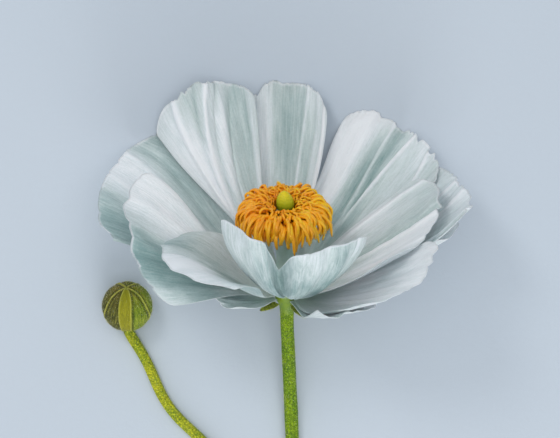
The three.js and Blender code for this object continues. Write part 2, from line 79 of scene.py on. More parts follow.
# The petals as in the solids, with what each one shows besides:
# ridges: place across at the rim and halfway down, from -1 at the right margin to 1 at the left one,
#         then half width and height, which is negative in a furrow
# notches: place across, half width and depth
# pale, brush: strength of its white edge and of its fine brushed lines
# ragged: first and last place across of a crumpled stretch of the rim
# pale, brush: strength of the painted highlight along its edge and of its fine brushed lines
# light and shade painted on it: place along and across of a pale zone of painted light (up to 1) or of a
# teal zone of painted shade (down to -1)
PETALS = {
    "petal_front": dict(
        azimuth=273, layer=3, length=66, half_width=21.5, lift=(19.5, 42, 62.5), cup=(0, 18, 5), twist=-1,
        curl=(2, -6.5), round=0.2, corner=3.8, lean=-0.01, fill=1.35, brush=2.1,
        notches=((-0.19, 0.12, 0.42),),
        ridges=((-0.62, -0.5, 1.5, -0.3), (-0.35, -0.3, 0.8, 0.3), (-0.02, 0, 1.1, -0.4),
            (0.12, 0.1, 0.7, 0.4), (0.3, 0.25, 1, -0.3), (0.45, 0.35, 1.1, 0.4), (0.66, 0.6, 1.5, -0.6),
            (0.86, 0.8, 0.8, 0.5)),
        painted_light_and_shade=((0.94, -0.85, 0.3), (0.8, -0.6, -0.2), (0.45, -0.35, -1), (0.85, 0, -0.6), (0.93, 0.2, 0.6),
            (0.85, 0.42, 0.2), (0.9, 0.66, -1), (0.97, 0.88, 0.5), (0.55, 0.1, -0.8), (0.35, 0, -0.6),
            (0.6, -0.3, -1), (0.6, 0.5, -1), (0.8, -0.25, -1))),
    "petal_right_inner": dict(
        azimuth=-5, layer=2, length=50.5, half_width=21.2, lift=(25.5, 36.5, 45), cup=(0, -0.5, 0), twist=1,
        round=0.18, corner=2.2, lean=0.09, fill=0.7,
        ridges=((0.9, 0.92, 0.9, 0.7), (0.62, 0.6, 2.4, -0.4), (0.14, 0.2, 1, -1.2),
            (-0.02, 0.08, 0.8, 1.2), (-0.3, -0.2, 1.2, -0.3), (-0.5, -0.4, 0.7, 0.5),
            (-0.7, -0.6, 1, -0.4)),
        painted_light_and_shade=((0.6, 0.95, 0.9), (0.8, 0.7, 0.3), (0.95, 0.6, 0.1), (0.5, 0.55, 0.2), (0.35, 0.9, 0.2),
            (0.7, 0.25, -0.3), (0.9, 0.25, -0.3), (0.55, -0.15, 0.9), (0.8, -0.1, 1.2), (1, -0.2, 1.2),
            (0.8, -0.8, 0.6), (0.42, 0.2, -0.5))),
    "petal_back_left": dict(
        azimuth=121, layer=2, length=67, half_width=12.6, lift=(40, 38.5, 53.5), cup=(0, -10, -10.5),
        twist=-1, curl=(22, -13), round=0.12, corner=2.9, lean=0.01, fill=1.75,
        ridges=((0.6, 0.82, 0.7, 1), (0.15, 0.75, 0.7, -0.9), (-0.12, 0.62, 0.9, 0.9),
            (-0.4, 0.41, 0.8, -0.8), (-0.6, 0.16, 1.6, 0.8), (-0.78, -0.1, 0.6, -0.5),
            (-0.97, -0.97, 0.6, 0.6)),
        painted_light_and_shade=((0.97, 0.78, -0.1), (0.8, 0.8, 0.9), (0.62, 0.6, 0.9), (0.95, 0.2, -0.2), (0.8, 0, 0.6),
            (0.6, 0.1, 0.5), (0.72, -0.8, -0.35), (0.95, -0.8, -0.2), (0.45, -0.5, -0.3), (0.4, 0.3, 0.1))),
    "petal_left_inner": dict(
        azimuth=219.5, layer=2, length=52, half_width=21.2, lift=(18.5, 66, 18.5), cup=(0, 1, -16),
        twist=-5, curl=(14, 15), round=0.34, corner=1.7, lean=0.2, fill=1.35, pale=0.15, brush=1.4,
        ridges=((-0.5, -0.4, 1.5, -0.5), (-0.08, -0.1, 0.8, -0.6), (0.2, 0.2, 2, 0.5),
            (0.6, 0.5, 1.6, 0.3)),
        painted_light_and_shade=((1, -0.5, -0.9), (0.88, -0.62, -0.6), (0.84, -0.85, 0.3), (0.66, -0.8, 0.1), (0.8, -0.3, 0),
            (0.9, 0.2, 1), (0.98, 0.7, 0.9), (0.52, -0.5, -0.3), (0.38, 0, -0.9), (0.6, 0.95, -0.8))),
    "petal_back": dict(
        azimuth=88.5, layer=1, length=64.5, half_width=11.4, lift=(29.5, 49.5, 52.5), cup=(0, 2.5, 3.5),
        twist=-2, round=0.13, corner=4, lean=0.03, fill=1.35, tuck=(2.8, 0.46, 0.16),
        ridges=((0.9, 0.95, 1, 0.5), (0.5, 0.6, 0.8, 0.4), (0.15, 0.1, 1.8, -0.4), (-0.2, -0.25, 0.8, 0.3),
            (-0.5, -0.3, 0.7, 0.6), (-0.7, -0.6, 0.8, -0.6), (-0.95, -0.97, 0.6, 0.7)),
        painted_light_and_shade=((0.9, 0.85, 0.5), (0.6, 0.9, 0.4), (0.95, 0.3, -0.3), (0.8, 0.15, -0.5), (0.8, -0.3, -0.6),
            (0.62, 0.2, -0.5), (0.6, -0.3, -0.4), (0.97, -0.7, 0.3), (0.75, -0.85, 0.4), (0.45, 0.3, 0.2),
            (0.42, -0.4, 0))),
    "petal_right_low": dict(
        azimuth=315.5, layer=1, length=54.5, half_width=16.3, lift=(13, 35.5, 35), cup=(0, 2.5, 3), twist=5,
        round=0.2, corner=3.2, lean=0.08, fill=0.97,
        ridges=((0.85, 0.9, 1, 0.4), (0.5, 0.6, 1.6, -0.5), (0.1, 0.1, 1.6, 0.5), (-0.3, -0.2, 1.2, 0.4)),
        painted_light_and_shade=((0.93, 0.9, 1), (0.85, 0.6, 1), (0.66, 0.75, 0.5), (0.5, 0.65, 0.9), (0.32, 0.8, 1.5),
            (0.24, 0.45, 1.5), (0.5, 0, 1.2), (0.8, -0.3, 1), (0.95, 0.1, 1))),
    "petal_back_right": dict(
        azimuth=46.5, layer=1, length=61, half_width=18.4, lift=(21, 41.5, 35), cup=(0, 4.5, 1.5), twist=4,
        round=0.13, corner=3.8, lean=0.04, fill=1.44, tuck=(7, 0.34, 0.23), ragged=(-0.95, 0.25),
        ridges=((0.9, 0.92, 0.8, -0.3), (0.64, 0.66, 1.6, 0.7), (0.5, 0.3, 1.5, -1), (0.31, 0.24, 0.5, 0.7),
            (0.18, 0.14, 1, -0.9), (-0.12, 0.12, 0.5, 1.1), (-0.35, -0.1, 1.2, -0.3),
            (-0.5, -0.9, 0.6, 0.9), (-0.75, -0.95, 1, -0.6)),
        painted_light_and_shade=((0.8, 0.8, 1.3), (0.55, 0.85, 1.1), (0.97, 0.6, 1.2), (0.72, 0.34, -0.7),
            (0.85, 0.15, -0.5), (0.85, -0.25, 0.4), (0.7, -0.3, 0), (0.95, -0.75, 0.2), (0.45, 0.2, -0.7))),
    "petal_left_low": dict(
        azimuth=192.5, layer=1, length=51.5, half_width=19.5, lift=(21, 42.5, 32), cup=(0, 4, -11.5),
        twist=-9, curl=(9, -7.5), round=0.12, corner=2.9, lean=-0.11, fill=1.73,
        ridges=((-0.6, -0.7, 1.8, 0.5), (-0.1, -0.2, 1.6, 0.3), (0.3, 0.3, 2, -0.5), (0.85, 0.8, 1.6, 0.5)),
        painted_light_and_shade=((0.95, -0.85, 1), (0.75, -0.85, 0.8), (0.85, -0.5, 0.8), (0.93, -0.3, 0.1),
            (0.93, 0.15, -1), (0.93, 0.4, -1.2), (0.9, 0.58, -0.9), (0.99, 0.88, 0.3), (0.75, 0.85, -0.6),
            (0.68, 0.6, -0.9))),
    "petal_right_outer": dict(
        azimuth=7, layer=1, length=59.5, half_width=20.8, lift=(15, 33.5, 45), cup=(0, -1, 5), twist=-2.5,
        round=0.02, corner=1.9, lean=-0.02, fill=1.32, ragged=(-0.6, 0.8),
        ridges=((0.66, 0.6, 0.8, -0.5), (0.47, 0.42, 0.5, 0.9), (0.33, 0.25, 0.7, -0.6),
            (0.1, -0.05, 0.5, 0.9), (-0.15, -0.2, 0.8, -0.5), (-0.5, -0.5, 0.5, -0.7),
            (-0.7, -0.7, 0.8, 0.6)),
        painted_light_and_shade=((0.9, 0.55, 0.4), (0.98, 0.05, 0.9), (0.85, -0.2, 0.5), (0.95, -0.5, 0.1),
            (0.6, 0.2, 0.2))),
    "petal_low_left": dict(
        azimuth=209, layer=0, length=26, half_width=6.4, lift=(5.5, 17.5, 40), cup=(0, -2, -7), twist=-3.5,
        round=0.33, corner=1.9, lean=-0.17, fill=1.43,
        ridges=((0.2, 0.2, 1, 0.4), (-0.4, -0.4, 1, -0.4)),
        painted_light_and_shade=((0.9, 0, -0.2), (0.5, -0.5, -0.7), (0.3, 0.2, -0.6))),
    "petal_left_outer": dict(
        azimuth=158, layer=0, length=61.5, half_width=26.8, lift=(19.5, 41, 18.5), cup=(0, 9.5, -4.5),
        twist=-2, round=0.06, corner=3.4, lean=-0.08, fill=1.26,
        ridges=((-0.72, -0.6, 1.6, -0.5), (-0.5, -0.35, 1.2, 0.7), (-0.1, 0, 1.6, 0.4),
            (0.2, 0.2, 1.4, -0.4), (0.6, 0.5, 2.2, -0.3)),
        painted_light_and_shade=((0.95, -0.5, 0.8), (0.92, -0.2, 0.9), (0.97, -0.85, -0.8), (0.8, -0.68, -0.8),
            (0.56, -0.7, -0.4), (0.97, 0.05, 0.4), (0.92, 0.32, -0.5), (0.92, 0.67, -1))),
    "petal_right_under": dict(
        azimuth=5, layer=0, length=53.5, half_width=11.8, lift=(8, 32.5, 38.5), cup=(0, -1.5, -2.5),
        twist=-2, round=0.24, corner=2.1, lean=0.08,
        ridges=((0, 0, 1.6, 0.4), (-0.5, -0.4, 1.2, -0.4)),
        painted_light_and_shade=((0.9, -0.2, 0.9), (0.5, 0, -0.3))),
    "petal_bottom": dict(
        azimuth=299.5, layer=0, length=39.5, half_width=11.5, lift=(5, 33.5, 30), cup=(0, -1.5, 9),
        twist=-1.5, round=0.05, lean=-0.05, fill=1.37,
        ridges=((0.75, 0.7, 1.2, 0.5), (0.4, 0.4, 1.2, -0.4), (0, 0, 1.2, 0.4), (-0.5, -0.4, 1.2, -0.4)),
        painted_light_and_shade=((0.2, 0.7, 1), (0.42, 0.8, 1.2), (0.7, 0.8, 1.4), (0.6, -0.3, 1.4))),
}
PLAIN_PETAL = dict(cup=(0, 0, 0), twist=0, curl=(0, 0), round=0.25, corner=2.4, lean=0, fill=1,
                   notches=(), tuck=(0, 0, 1), pale=0.8, brush=1.25, ragged=None)

SEPALS = [  # azimuth, length and lift
    (224, 6.8, (2, 3, 4)),
    (296, 8, (-1, 1, 3)),
    (8, 10.6, (-10, -20, -30)),
    (80, 10.6, (-10, -18, -26)),
    (152, 10.6, (-14, -24, -34)),
]

# ---- general helpers

Z_AXIS = np.array([0.0, 0.0, 1.0])


def blend(values, t):
    """Three control values blended along t from 0 to 1, as a quadratic Bezier curve."""
    start, middle, end = values
    return start * (1 - t) ** 2 + middle * 2 * t * (1 - t) + end * t**2


def smooth_step(low, high, x):
    """0 below low, 1 above high and smooth between them."""
    t = np.clip((x - low) / (high - low), 0, 1)
    return t * t * (3 - 2 * t)


def bell(x, half):
    """1 where x is 0, falling off to both sides over about half."""
    return np.exp(-((x / half) ** 2))


def walk(rise, step):
    """How far out and how high one comes by steps that rise at these angles in radians."""
    start = np.zeros((1, rise.shape[1]))
    return [np.vstack([start, np.cumsum(part(rise) * step, axis=0)]) for part in (np.cos, np.sin)]


def unit(vectors):
    """The same vectors with a length of 1."""
    length = np.linalg.norm(vectors, axis=-1, keepdims=True)
    return vectors / np.maximum(length, 1e-9)


def lean_back(points, degrees):
    """Points turned about X, away from the viewer."""
    x, y, z = np.moveaxis(np.asarray(points, float), -1, 0)
    cos, sin = math.cos(math.radians(degrees)), math.sin(math.radians(degrees))
    return np.stack([x, y * cos + z * sin, z * cos - y * sin], -1)


def lay_back(points):
    """Points of the bloom's own frame, laid back and set on the junction."""
    return lean_back(points, HEAD_LEAN) + JUNCTION


def heart_point(points):
    """The same for receptacle, stamens and pistil, which lean a little sideways."""
    x, y, z = np.moveaxis(np.asarray(points, float), -1, 0)
    return lay_back(np.stack([x + HEART_LEAN * np.maximum(0, z), y, z], -1))


def ring_point(radius, angle, height):
    """Points in cylinder coordinates, with the angle in radians."""
    radius, angle, height = np.broadcast_arrays(radius, angle, height)
    return np.stack([radius * np.cos(angle), radius * np.sin(angle), height], -1)


def around_circle(sides):
    """Angles in radians, evenly spread."""
    return np.linspace(0, 2 * np.pi, sides, endpoint=False)


def curve_through(points, count):
    """A centripetal Catmull-Rom curve as count + 1 points, evenly spread over its spans."""
    points = np.asarray(points, float)
    points = np.vstack([2 * points[0] - points[1], points, 2 * points[-1] - points[-2]])
    spans = len(points) - 3
    made = []
    for place in np.linspace(0, spans, count + 1):
        i = min(int(place), spans - 1)
        p = points[i:i + 4]
        knot = np.concatenate([[0], np.cumsum(np.sqrt(np.linalg.norm(np.diff(p, axis=0), axis=1)))])
        t = knot[1] + (place - i) * (knot[2] - knot[1])
        a = [((knot[k + 1] - t) * p[k] + (t - knot[k]) * p[k + 1]) / (knot[k + 1] - knot[k])
             for k in range(3)]
        b = [((knot[k + 2] - t) * a[k] + (t - knot[k]) * a[k + 1]) / (knot[k + 2] - knot[k])
             for k in range(2)]
        made.append(((knot[2] - t) * b[0] + (t - knot[1]) * b[1]) / (knot[2] - knot[1]))
    return np.array(made)


def grid_faces(rows, columns, closed=False):
    """Faces of a grid of points kept row by row. A closed grid joins its last column to its first."""
    i, j = np.indices((rows - 1, columns if closed else columns - 1))
    a, b = i * columns + j, i * columns + (j + 1) % columns
    return np.stack([a, b, b + columns, a + columns], -1).reshape(-1, 4)


def new_object(name, data):
    """A new object in the scene."""
    made = bpy.data.objects.new(name, data)
    bpy.context.scene.collection.objects.link(made)
    return made


def add_piece(name, points, faces, material, replaces=(), slot=None, maps=None, marks=None):
    """A smooth mesh from points in millimetres, with a map and marks for each point."""
    mesh = bpy.data.meshes.new(name)
    mesh.from_pydata((np.asarray(points) * MM).tolist(), [], [list(map(int, face)) for face in faces])
    mesh.polygons.foreach_set("use_smooth", [True] * len(mesh.polygons))
    if maps is not None:
        corners = np.zeros(len(mesh.loops), int)
        mesh.loops.foreach_get("vertex_index", corners)
        layer = mesh.uv_layers.new(name="SurfaceMap")
        layer.data.foreach_set("uv", np.asarray(maps, np.float32)[corners].ravel())
    for mark, values in (marks or {}).items():
        attribute = mesh.attributes.new(mark, "FLOAT", "POINT")
        attribute.data.foreach_set("value", np.asarray(values, np.float32).ravel())
    mesh.materials.append(material)
    mesh.validate()
    piece = new_object(name, mesh)
    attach(piece, "root")
    if replaces:
        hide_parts(*replaces)


def tube(path, side_radius, over_radius, sides, up=Z_AXIS, relief=None):
    """The rings of an oval tube along a path."""
    path = np.asarray(path, float)
    along = unit(np.gradient(path, axis=0))
    side = unit(np.cross(along, up))
    over = np.cross(side, along)
    angle = around_circle(sides)
    grow = 1 if relief is None else relief(np.linspace(0, 1, len(path))[:, None], angle[None, :])
    across = np.sin(angle) * np.reshape(side_radius, (-1, 1)) * grow
    upward = -np.cos(angle) * np.reshape(over_radius, (-1, 1)) * grow
    return path[:, None] + side[:, None] * across[..., None] + over[:, None] * upward[..., None]


def close_ends(rings):
    """Points and faces of a closed tube, its ends closed by a face round each end ring."""
    rows, sides = rings.shape[:2]
    faces = [list(face) for face in grid_faces(rows, sides, closed=True)]
    faces += [list(range(sides))[::-1], list(range((rows - 1) * sides, rows * sides))]
    return rings.reshape(-1, 3), faces


# ---- material helpers


def brighter(colour, factor):
    return tuple(min(1, factor * c) for c in colour)


class Surface:
    """A node material being built: nodes are added by kind and joined by name."""

    def __init__(self, name):
        self.material = bpy.data.materials.new(name)
        self.material.use_nodes = True
        self.nodes = self.material.node_tree.nodes
        self.links = self.material.node_tree.links
        self.shader = self.nodes["Principled BSDF"]

    def add(self, kind, settings=None, **inputs):
        node = self.nodes.new("ShaderNode" + kind)
        for key, value in (settings or {}).items():
            setattr(node, key, value)
        for key, value in inputs.items():
            self.feed(node.inputs[key.replace("_", " ")], value)
        return node

    def feed(self, socket, value):
        if isinstance(value, bpy.types.NodeSocket):
            self.links.new(value, socket)
        else:
            socket.default_value = value

    def math(self, operation, *values):
        node = self.add("Math", dict(operation=operation))
        for socket, value in zip(node.inputs, values):
            self.feed(socket, value)
        return node.outputs[0]

    def vary(self, value, pattern, weight):
        """A value moved up and down by a pattern that swings about a half."""
        return self.math("MULTIPLY_ADD", pattern, weight, self.math("SUBTRACT", value, weight / 2))

    def ramp(self, value, *stops):
        """A colour ramp: each stop is a place and a colour or a grey."""
        node = self.add("ValToRGB", Fac=value)
        elements = node.color_ramp.elements
        while len(elements) < len(stops):
            elements.new(0.5)
        for element, (place, colour) in zip(elements, stops):
            element.position = place
            element.color = (*colour, 1) if isinstance(colour, tuple) else (colour, colour, colour, 1)
        return node.outputs["Color"]

    def mix(self, share, first, second):
        node = self.add("Mix", dict(data_type="RGBA", clamp_factor=True))
        for socket, value in ((node.inputs[0], share), (node.inputs[6], first), (node.inputs[7], second)):
            self.feed(socket, (*value, 1) if isinstance(value, tuple) else value)
        return node.outputs[2]

    def noise(self, vector, scale, detail=3, roughness=0.55, distortion=0):
        node = self.add("TexNoise", Vector=vector, Scale=scale, Detail=detail, Roughness=roughness,
                        Distortion=distortion)
        return node.outputs["Fac"]

    def place(self):
        """Where a point of the surface lies, in metres."""
        return self.add("TexCoord").outputs["Object"]

    def surface_map(self):
        """Where a point lies across and along the surface, both from 0 to 1."""
        return self.add("UVMap", dict(uv_map="SurfaceMap")).outputs[0]

    def mark(self, name):
        """A number that the mesh holds at each point."""
        return self.add("Attribute", dict(attribute_name=name)).outputs["Fac"]

    def stretched(self, vector, scale, shift=(0, 0, 0)):
        return self.add("Mapping", Vector=vector, Scale=scale, Location=shift).outputs[0]

    def bump(self, height, depth):
        return self.add("Bump", Height=height, Distance=depth * MM, Strength=1).outputs[0]

    def finish(self, colour, roughness, soft=None, **inputs):
        """The material. soft is the subsurface's weight, colour and depth."""
        inputs.update(Base_Color=colour, Roughness=roughness)
        if soft:
            weight, colour, depth = soft
            inputs.update(Subsurface_Weight=weight, Subsurface_Radius=colour, Subsurface_Scale=depth * MM)
        for key, value in inputs.items():
            self.feed(self.shader.inputs[key.replace("_", " ")], value)
        return self.material


# ---- petals

# A petal's colours from its darkest teal to its whitest, for its own random variation and for the light and
# shade painted on it
SILK = ((0, (0.24, 0.36, 0.355)), (0.25, (0.405, 0.51, 0.505)), (0.5, (0.595, 0.68, 0.675)),
        (0.75, (0.76, 0.825, 0.85)), (1, (0.92, 0.955, 0.99)))
LOW_GREEN = (0.47, 0.6, 0.53)  # low in the cup
# The painted highlight along a petal's rim
RIM_HIGHLIGHT = (0.9, 0.93, 0.97)
# How far each pattern moves the colour along that scale
PAINTED_LIGHT_WEIGHT = 0.95
RIDGE_SHADING_WEIGHT = 0.3
CLOUD_WEIGHT = 0.42
STREAK_WEIGHT = 0.4
VEIN_WEIGHT = 0.38
GRAIN_WEIGHT = 0.22
HIGHLIGHT_LINE_WEIGHT = 0.4


def petal_material(name, shift, rim_highlight_strength, brush):
    """Silky white and pale teal in soft zones of painted light and shade, finely veined along, greenish low
    in the cup, with painted light and shade along its ridges and a painted highlight along its rim.
    """
    s = Surface(name)
    place = s.surface_map()
    parts = s.add("SeparateXYZ", Vector=place)
    across, along = parts.outputs[0], parts.outputs[1]
    clouds = s.noise(s.stretched(place, (5.5, 2.6, 1), (shift * 3, 7, 0)), 1, 4, 0.55, 1.2)
    veins = s.noise(s.stretched(place, (140, 4.5, 1), (shift, 0, 0)), 1, 5, 0.7, 0.7)
    streaks = s.noise(s.stretched(place, (34, 4.5, 1), (shift * 2, 3, 0)), 1, 4, 0.62, 1.3)
    crinkle = s.noise(s.stretched(place, (70, 30, 1), (shift, 5, 0)), 1, 3, 0.6, 0.5)
    grain = s.noise(s.place(), 1400, 2, 0.7)
    # Ridges painted lighter and furrows darker, a painted light and shade
    value = s.math("MULTIPLY_ADD", s.mark("relief"), RIDGE_SHADING_WEIGHT, -0.1)
    # The zones of painted light and shade
    value = s.math("MULTIPLY_ADD", s.mark("tone_and_painted_light"), PAINTED_LIGHT_WEIGHT, value)
    value = s.vary(value, clouds, CLOUD_WEIGHT)
    value = s.vary(value, streaks, STREAK_WEIGHT * brush)
    value = s.vary(value, veins, VEIN_WEIGHT * brush)
    value = s.vary(value, grain, GRAIN_WEIGHT)
    # Painted highlight lines on the sharp ridges
    value = s.math("MULTIPLY_ADD", s.mark("line"), HIGHLIGHT_LINE_WEIGHT, value)
    colour = s.mix(s.ramp(along, (0.06, 0.9), (0.36, 0)), s.ramp(value, *SILK), LOW_GREEN)
    # A painted highlight along the rim, broken up by the clouds
    edge = s.math("ABSOLUTE", s.math("MULTIPLY_ADD", across, 2, -1))
    edge = s.math("MAXIMUM", edge, along)
    pale = s.math("MULTIPLY", s.ramp(edge, (0.983, 0), (0.994, rim_highlight_strength)),
                  s.ramp(clouds, (0.38, 0.15), (0.6, 1)))
    height = s.math("MULTIPLY_ADD", veins, 0.8, streaks)
    height = s.math("MULTIPLY_ADD", crinkle, 0.5, height)
    return s.finish(s.mix(pale, colour, RIM_HIGHLIGHT), s.ramp(veins, (0.3, 0.66), (0.7, 0.5)),
                    Normal=s.bump(height, 0.26), Specular_IOR_Level=0.3, soft=(0.3, (0.9, 1, 1), 1),
                    Sheen_Weight=0.1, Sheen_Roughness=0.4)


def rim_reach(petal, v, nicks):
    """How far the rim reaches at v, as a share of the petal's length."""
    reach = 1 - petal["round"] * (1 - np.sqrt(1 - np.abs(v) ** petal["corner"])) + petal["lean"] * v
    for place, half, depth in (*petal["notches"], *nicks):
        reach = reach - depth * bell(v - place, half)
    return reach


def petal_half_width(petal, u):
    grown = np.sin(np.pi / 2 * u ** petal["fill"])
    return CLAW_HALF_WIDTH + (petal["half_width"] - CLAW_HALF_WIDTH) * grown


def tucked_width(petal, u):
    """What the petal's left half is wider by, where it goes on under its neighbour."""
    extra, place, spread = petal["tuck"]
    return extra * bell(u - place, spread)


def smooth_petal(petal, u, v, nicks):
    """The petal's smooth middle surface on the grid of u, from claw to rim, and v across it."""
    between = ((u[:-1] + u[1:]) / 2)[:, None]
    edge = np.maximum(0, -v) ** 5 * petal["curl"][0] + np.maximum(0, v) ** 2 * petal["curl"][1]
    rise = blend(petal["lift"], between) + blend(petal["cup"], between) * v**2 + petal["twist"] * v
    rise = np.radians(rise + edge * between)
    step = petal["length"] * rim_reach(petal, v, nicks) * np.diff(u)[:, None]
    out, up = walk(rise, step)
    r = CLAW_RADIUS + out
    z = CLAW_HEIGHT + LAYER_STEP * petal["layer"] + up
    across = v * petal_half_width(petal, u)[:, None] + np.maximum(0, v) * tucked_width(petal, u)[:, None]
    return lay_back(ring_point(r, math.radians(petal["azimuth"]) + across / r, z))


# Waves across a petal: number of radians from its middle to its margin, and height
FLUTES = ((5, 0.18), (9, 0.12), (16, 0.08), (27, 0.04))
RIM_RUFFLES = ((5, 0.6), (9, 0.4), (17, 0.15))
CRUMPLE_HEIGHT = 0.28
# A sharp ridge gets a painted highlight line along its crest
SHARP_RIDGE = (0.45, 1)  # least height and largest half width of a ridge with a line
HIGHLIGHT_LINE_HALF_WIDTH = 0.42


def petal_relief(petal, u, v, draw):
    """Height of ridges, furrows and flutes over the smooth petal, with the ruffle at its rim;
    the same without the ruffle; and the painted highlight lines on the sharp ridges."""
    u, v = u[:, None], v[None, :]
    width = petal_half_width(petal, u)
    height = 0 * u * v
    lines = 0 * u * v
    for rim_place, low_place, half, rise in petal["ridges"]:
        place = low_place + (rim_place - low_place) * np.maximum(-0.3, 2 * u - 1)
        reach = half * (0.35 + 0.65 * u)
        from_crest = (v - place) * width
        height = height + rise * bell(from_crest, reach) * smooth_step(0.05, 0.6, u)
        if rise > SHARP_RIDGE[0] and half < SHARP_RIDGE[1]:
            lines = lines + rise * bell(from_crest, HIGHLIGHT_LINE_HALF_WIDTH) * smooth_step(0.25, 0.55, u)
    for count, size in FLUTES:
        phase, bend = draw.uniform(0, 6.3), draw.uniform(-1, 1)
        height = height + size * np.sin(count * v + phase + bend * u) * u**1.2
    ruffle = 0 * u * v
    for count, size in RIM_RUFFLES:
        ruffle = ruffle + size * np.sin(count * v + draw.uniform(0, 6.3))
    if petal["ragged"]:
        first, last = petal["ragged"]
        inside = smooth_step(first, first + 0.1, v) * (1 - smooth_step(last - 0.1, last, v))
        crumple = np.sin(31 * v + 5 * u + 1) + 0.7 * np.sin(53 * v - 9 * u)
        ruffle = ruffle + CRUMPLE_HEIGHT * crumple * inside * smooth_step(0.88, 1, u)
    return height + ruffle * smooth_step(0.8, 1, u), height, lines


def surface_normals(points):
    return unit(np.cross(np.gradient(points, axis=0), np.gradient(points, axis=1)))


SHADE_LENGTH = 0.17  # spread of a zone along the petal and across it
SHADE_WIDTH = 0.24
PLAIN_TONE = 0.1  # where no zone is near, with its weight
PLAIN_WEIGHT = 0.12


def painted_petal_light(petal, u, v):
    """Pale zones of painted light and teal zones of painted shade: 0 is teal and 1 is white."""
    u, v = u[:, None], v[None, :]
    total, weight = PLAIN_TONE * PLAIN_WEIGHT, PLAIN_WEIGHT
    for along, across, tone_and_painted_light in petal["painted_light_and_shade"]:
        share = bell(u - along, SHADE_LENGTH) * bell(v - across, SHADE_WIDTH)
        total, weight = total + share * tone_and_painted_light, weight + share
    return 0.5 + 0.5 * total / weight


def sheet_solid(points, thickness):
    """Points and faces of a thin solid on both sides of a grid of points."""
    rows, columns = points.shape[:2]
    shift = surface_normals(points) * thickness[..., None] / 2
    faces = grid_faces(rows, columns)
    both = rows * columns
    index = np.arange(both).reshape(rows, columns)
    border = np.concatenate([index[0, :-1], index[:-1, -1], index[-1, :0:-1], index[:0:-1, 0]])
    after = np.roll(border, -1)
    wall = np.stack([border, border + both, after + both, after], -1)
    faces = np.vstack([faces[:, ::-1], faces + both, wall])
    return np.vstack([(points + shift).reshape(-1, 3), (points - shift).reshape(-1, 3)]), faces


THINNING_ROWS = 9  # of the grid, over which a sheet thins towards its edge


def sheet_thickness(rows, columns, full, margin):
    """Thickness that falls off towards the rim and the two margins."""
    along = np.arange(rows)[:, None]
    across = np.arange(columns)[None, :]
    near = np.minimum(np.minimum(across, columns - 1 - across), rows - 1 - along)
    return margin + (full - margin) * smooth_step(0, THINNING_ROWS, near)


# Nicks in a rim: how many, range of their half widths across, and of their depths along
WIDE_NICKS = (8, (0.03, 0.1), (0.004, 0.018))
FINE_NICKS = (8, (0.01, 0.02), (0.003, 0.01))
RAGGED_NICKS = (14, (0.012, 0.05), (0.004, 0.014))


def draw_nicks(draw, stretch, kind):
    """Nicks of one kind as place, half width and depth, spread over a stretch of the rim."""
    count, widths, depths = kind
    return [(draw.uniform(*stretch), draw.uniform(*widths), draw.uniform(*depths)) for _ in range(count)]


def make_petal(index, name, shape):
    petal = {**PLAIN_PETAL, **shape}
    draw = np.random.default_rng(40 + index)
    whole_rim = (-0.95, 0.95)
    nicks = draw_nicks(draw, whole_rim, WIDE_NICKS) + draw_nicks(draw, whole_rim, FINE_NICKS)
    if petal["ragged"]:
        nicks += draw_nicks(np.random.default_rng(80 + index), petal["ragged"], RAGGED_NICKS)
    u = np.linspace(0, 1, PETAL_ROWS)
    v = np.sin(np.pi / 2 * np.linspace(-1, 1, PETAL_COLUMNS))
    points = smooth_petal(petal, u, v, nicks)
    height, creases, lines = petal_relief(petal, u, v, draw)
    points = points + surface_normals(points) * height[..., None]
    points[..., 2] = np.maximum(points[..., 2], PETAL_THICKNESS)
    thickness = sheet_thickness(PETAL_ROWS, PETAL_COLUMNS, PETAL_THICKNESS, MARGIN_THICKNESS)
    solid, faces = sheet_solid(points, thickness)
    across, along = np.meshgrid(np.linspace(0, 1, PETAL_COLUMNS), u)
    maps = np.stack([across, along], -1).reshape(-1, 2)
    # Marks for the colour: light and shade painted along ridges and furrows, zones of painted light and
    # shade, and painted highlight lines
    marks = dict(relief=np.clip(0.5 + creases / 2.4, 0, 1), tone_and_painted_light=painted_petal_light(petal, u, v),
                 line=np.clip(lines, 0, 1))
    material = petal_material(name + "_silk", 5 * index, petal["pale"], petal["brush"])
    add_piece(name + "_leaf", solid, faces, material, replaces=[name], slot="petal",
              maps=np.vstack([maps, maps]),
              marks={mark: np.tile(values.ravel(), 2) for mark, values in marks.items()})


# ---- greens


def green_material(name, light, dark):
    """A hairy green skin in dark and light patches, with paler ribs along it and a painted shade in the
    grooves between them.
    """
    s = Surface(name)
    patches = s.noise(s.place(), 260, 3)
    specks = s.noise(s.place(), 1900, 2, 0.7)
    rib_shading = s.mark("relief")
    colour = s.mix(s.ramp(patches, (0.35, 0), (0.65, 1)), dark, light)
    colour = s.mix(s.ramp(specks, (0.52, 0), (0.66, 0.75)), colour, brighter(light, 2.1))
    colour = s.mix(s.ramp(specks, (0.34, 0.8), (0.46, 0)), colour, brighter(dark, 0.4))
    # Painted shade in the grooves between the ribs, and paler ribs
    colour = s.mix(s.ramp(rib_shading, (0.3, 0.25), (0.5, 0)), colour, dark)
    colour = s.mix(s.ramp(rib_shading, (0.6, 0), (0.9, 0.25)), colour, brighter(light, 1.5))
    return s.finish(colour, s.ramp(patches, (0.3, 0.5), (0.7, 0.68)), Normal=s.bump(specks, 0.35),
                    Specular_IOR_Level=0.2, soft=(0.12, (0.8, 1, 0.3), 1))


def hair_material():
    s = Surface("fine_hairs")
    colour = s.mix(s.noise(s.place(), 300), (0.6, 0.62, 0.3), (0.72, 0.7, 0.45))
    return s.finish(colour, 0.5, Subsurface_Weight=0.1, Subsurface_Scale=0.3 * MM)


FINE_HAIRS = hair_material()
HAIR_RADIUS = 0.035
HAIR_CLEARANCE = 0.1  # every hair stays this far above the floor


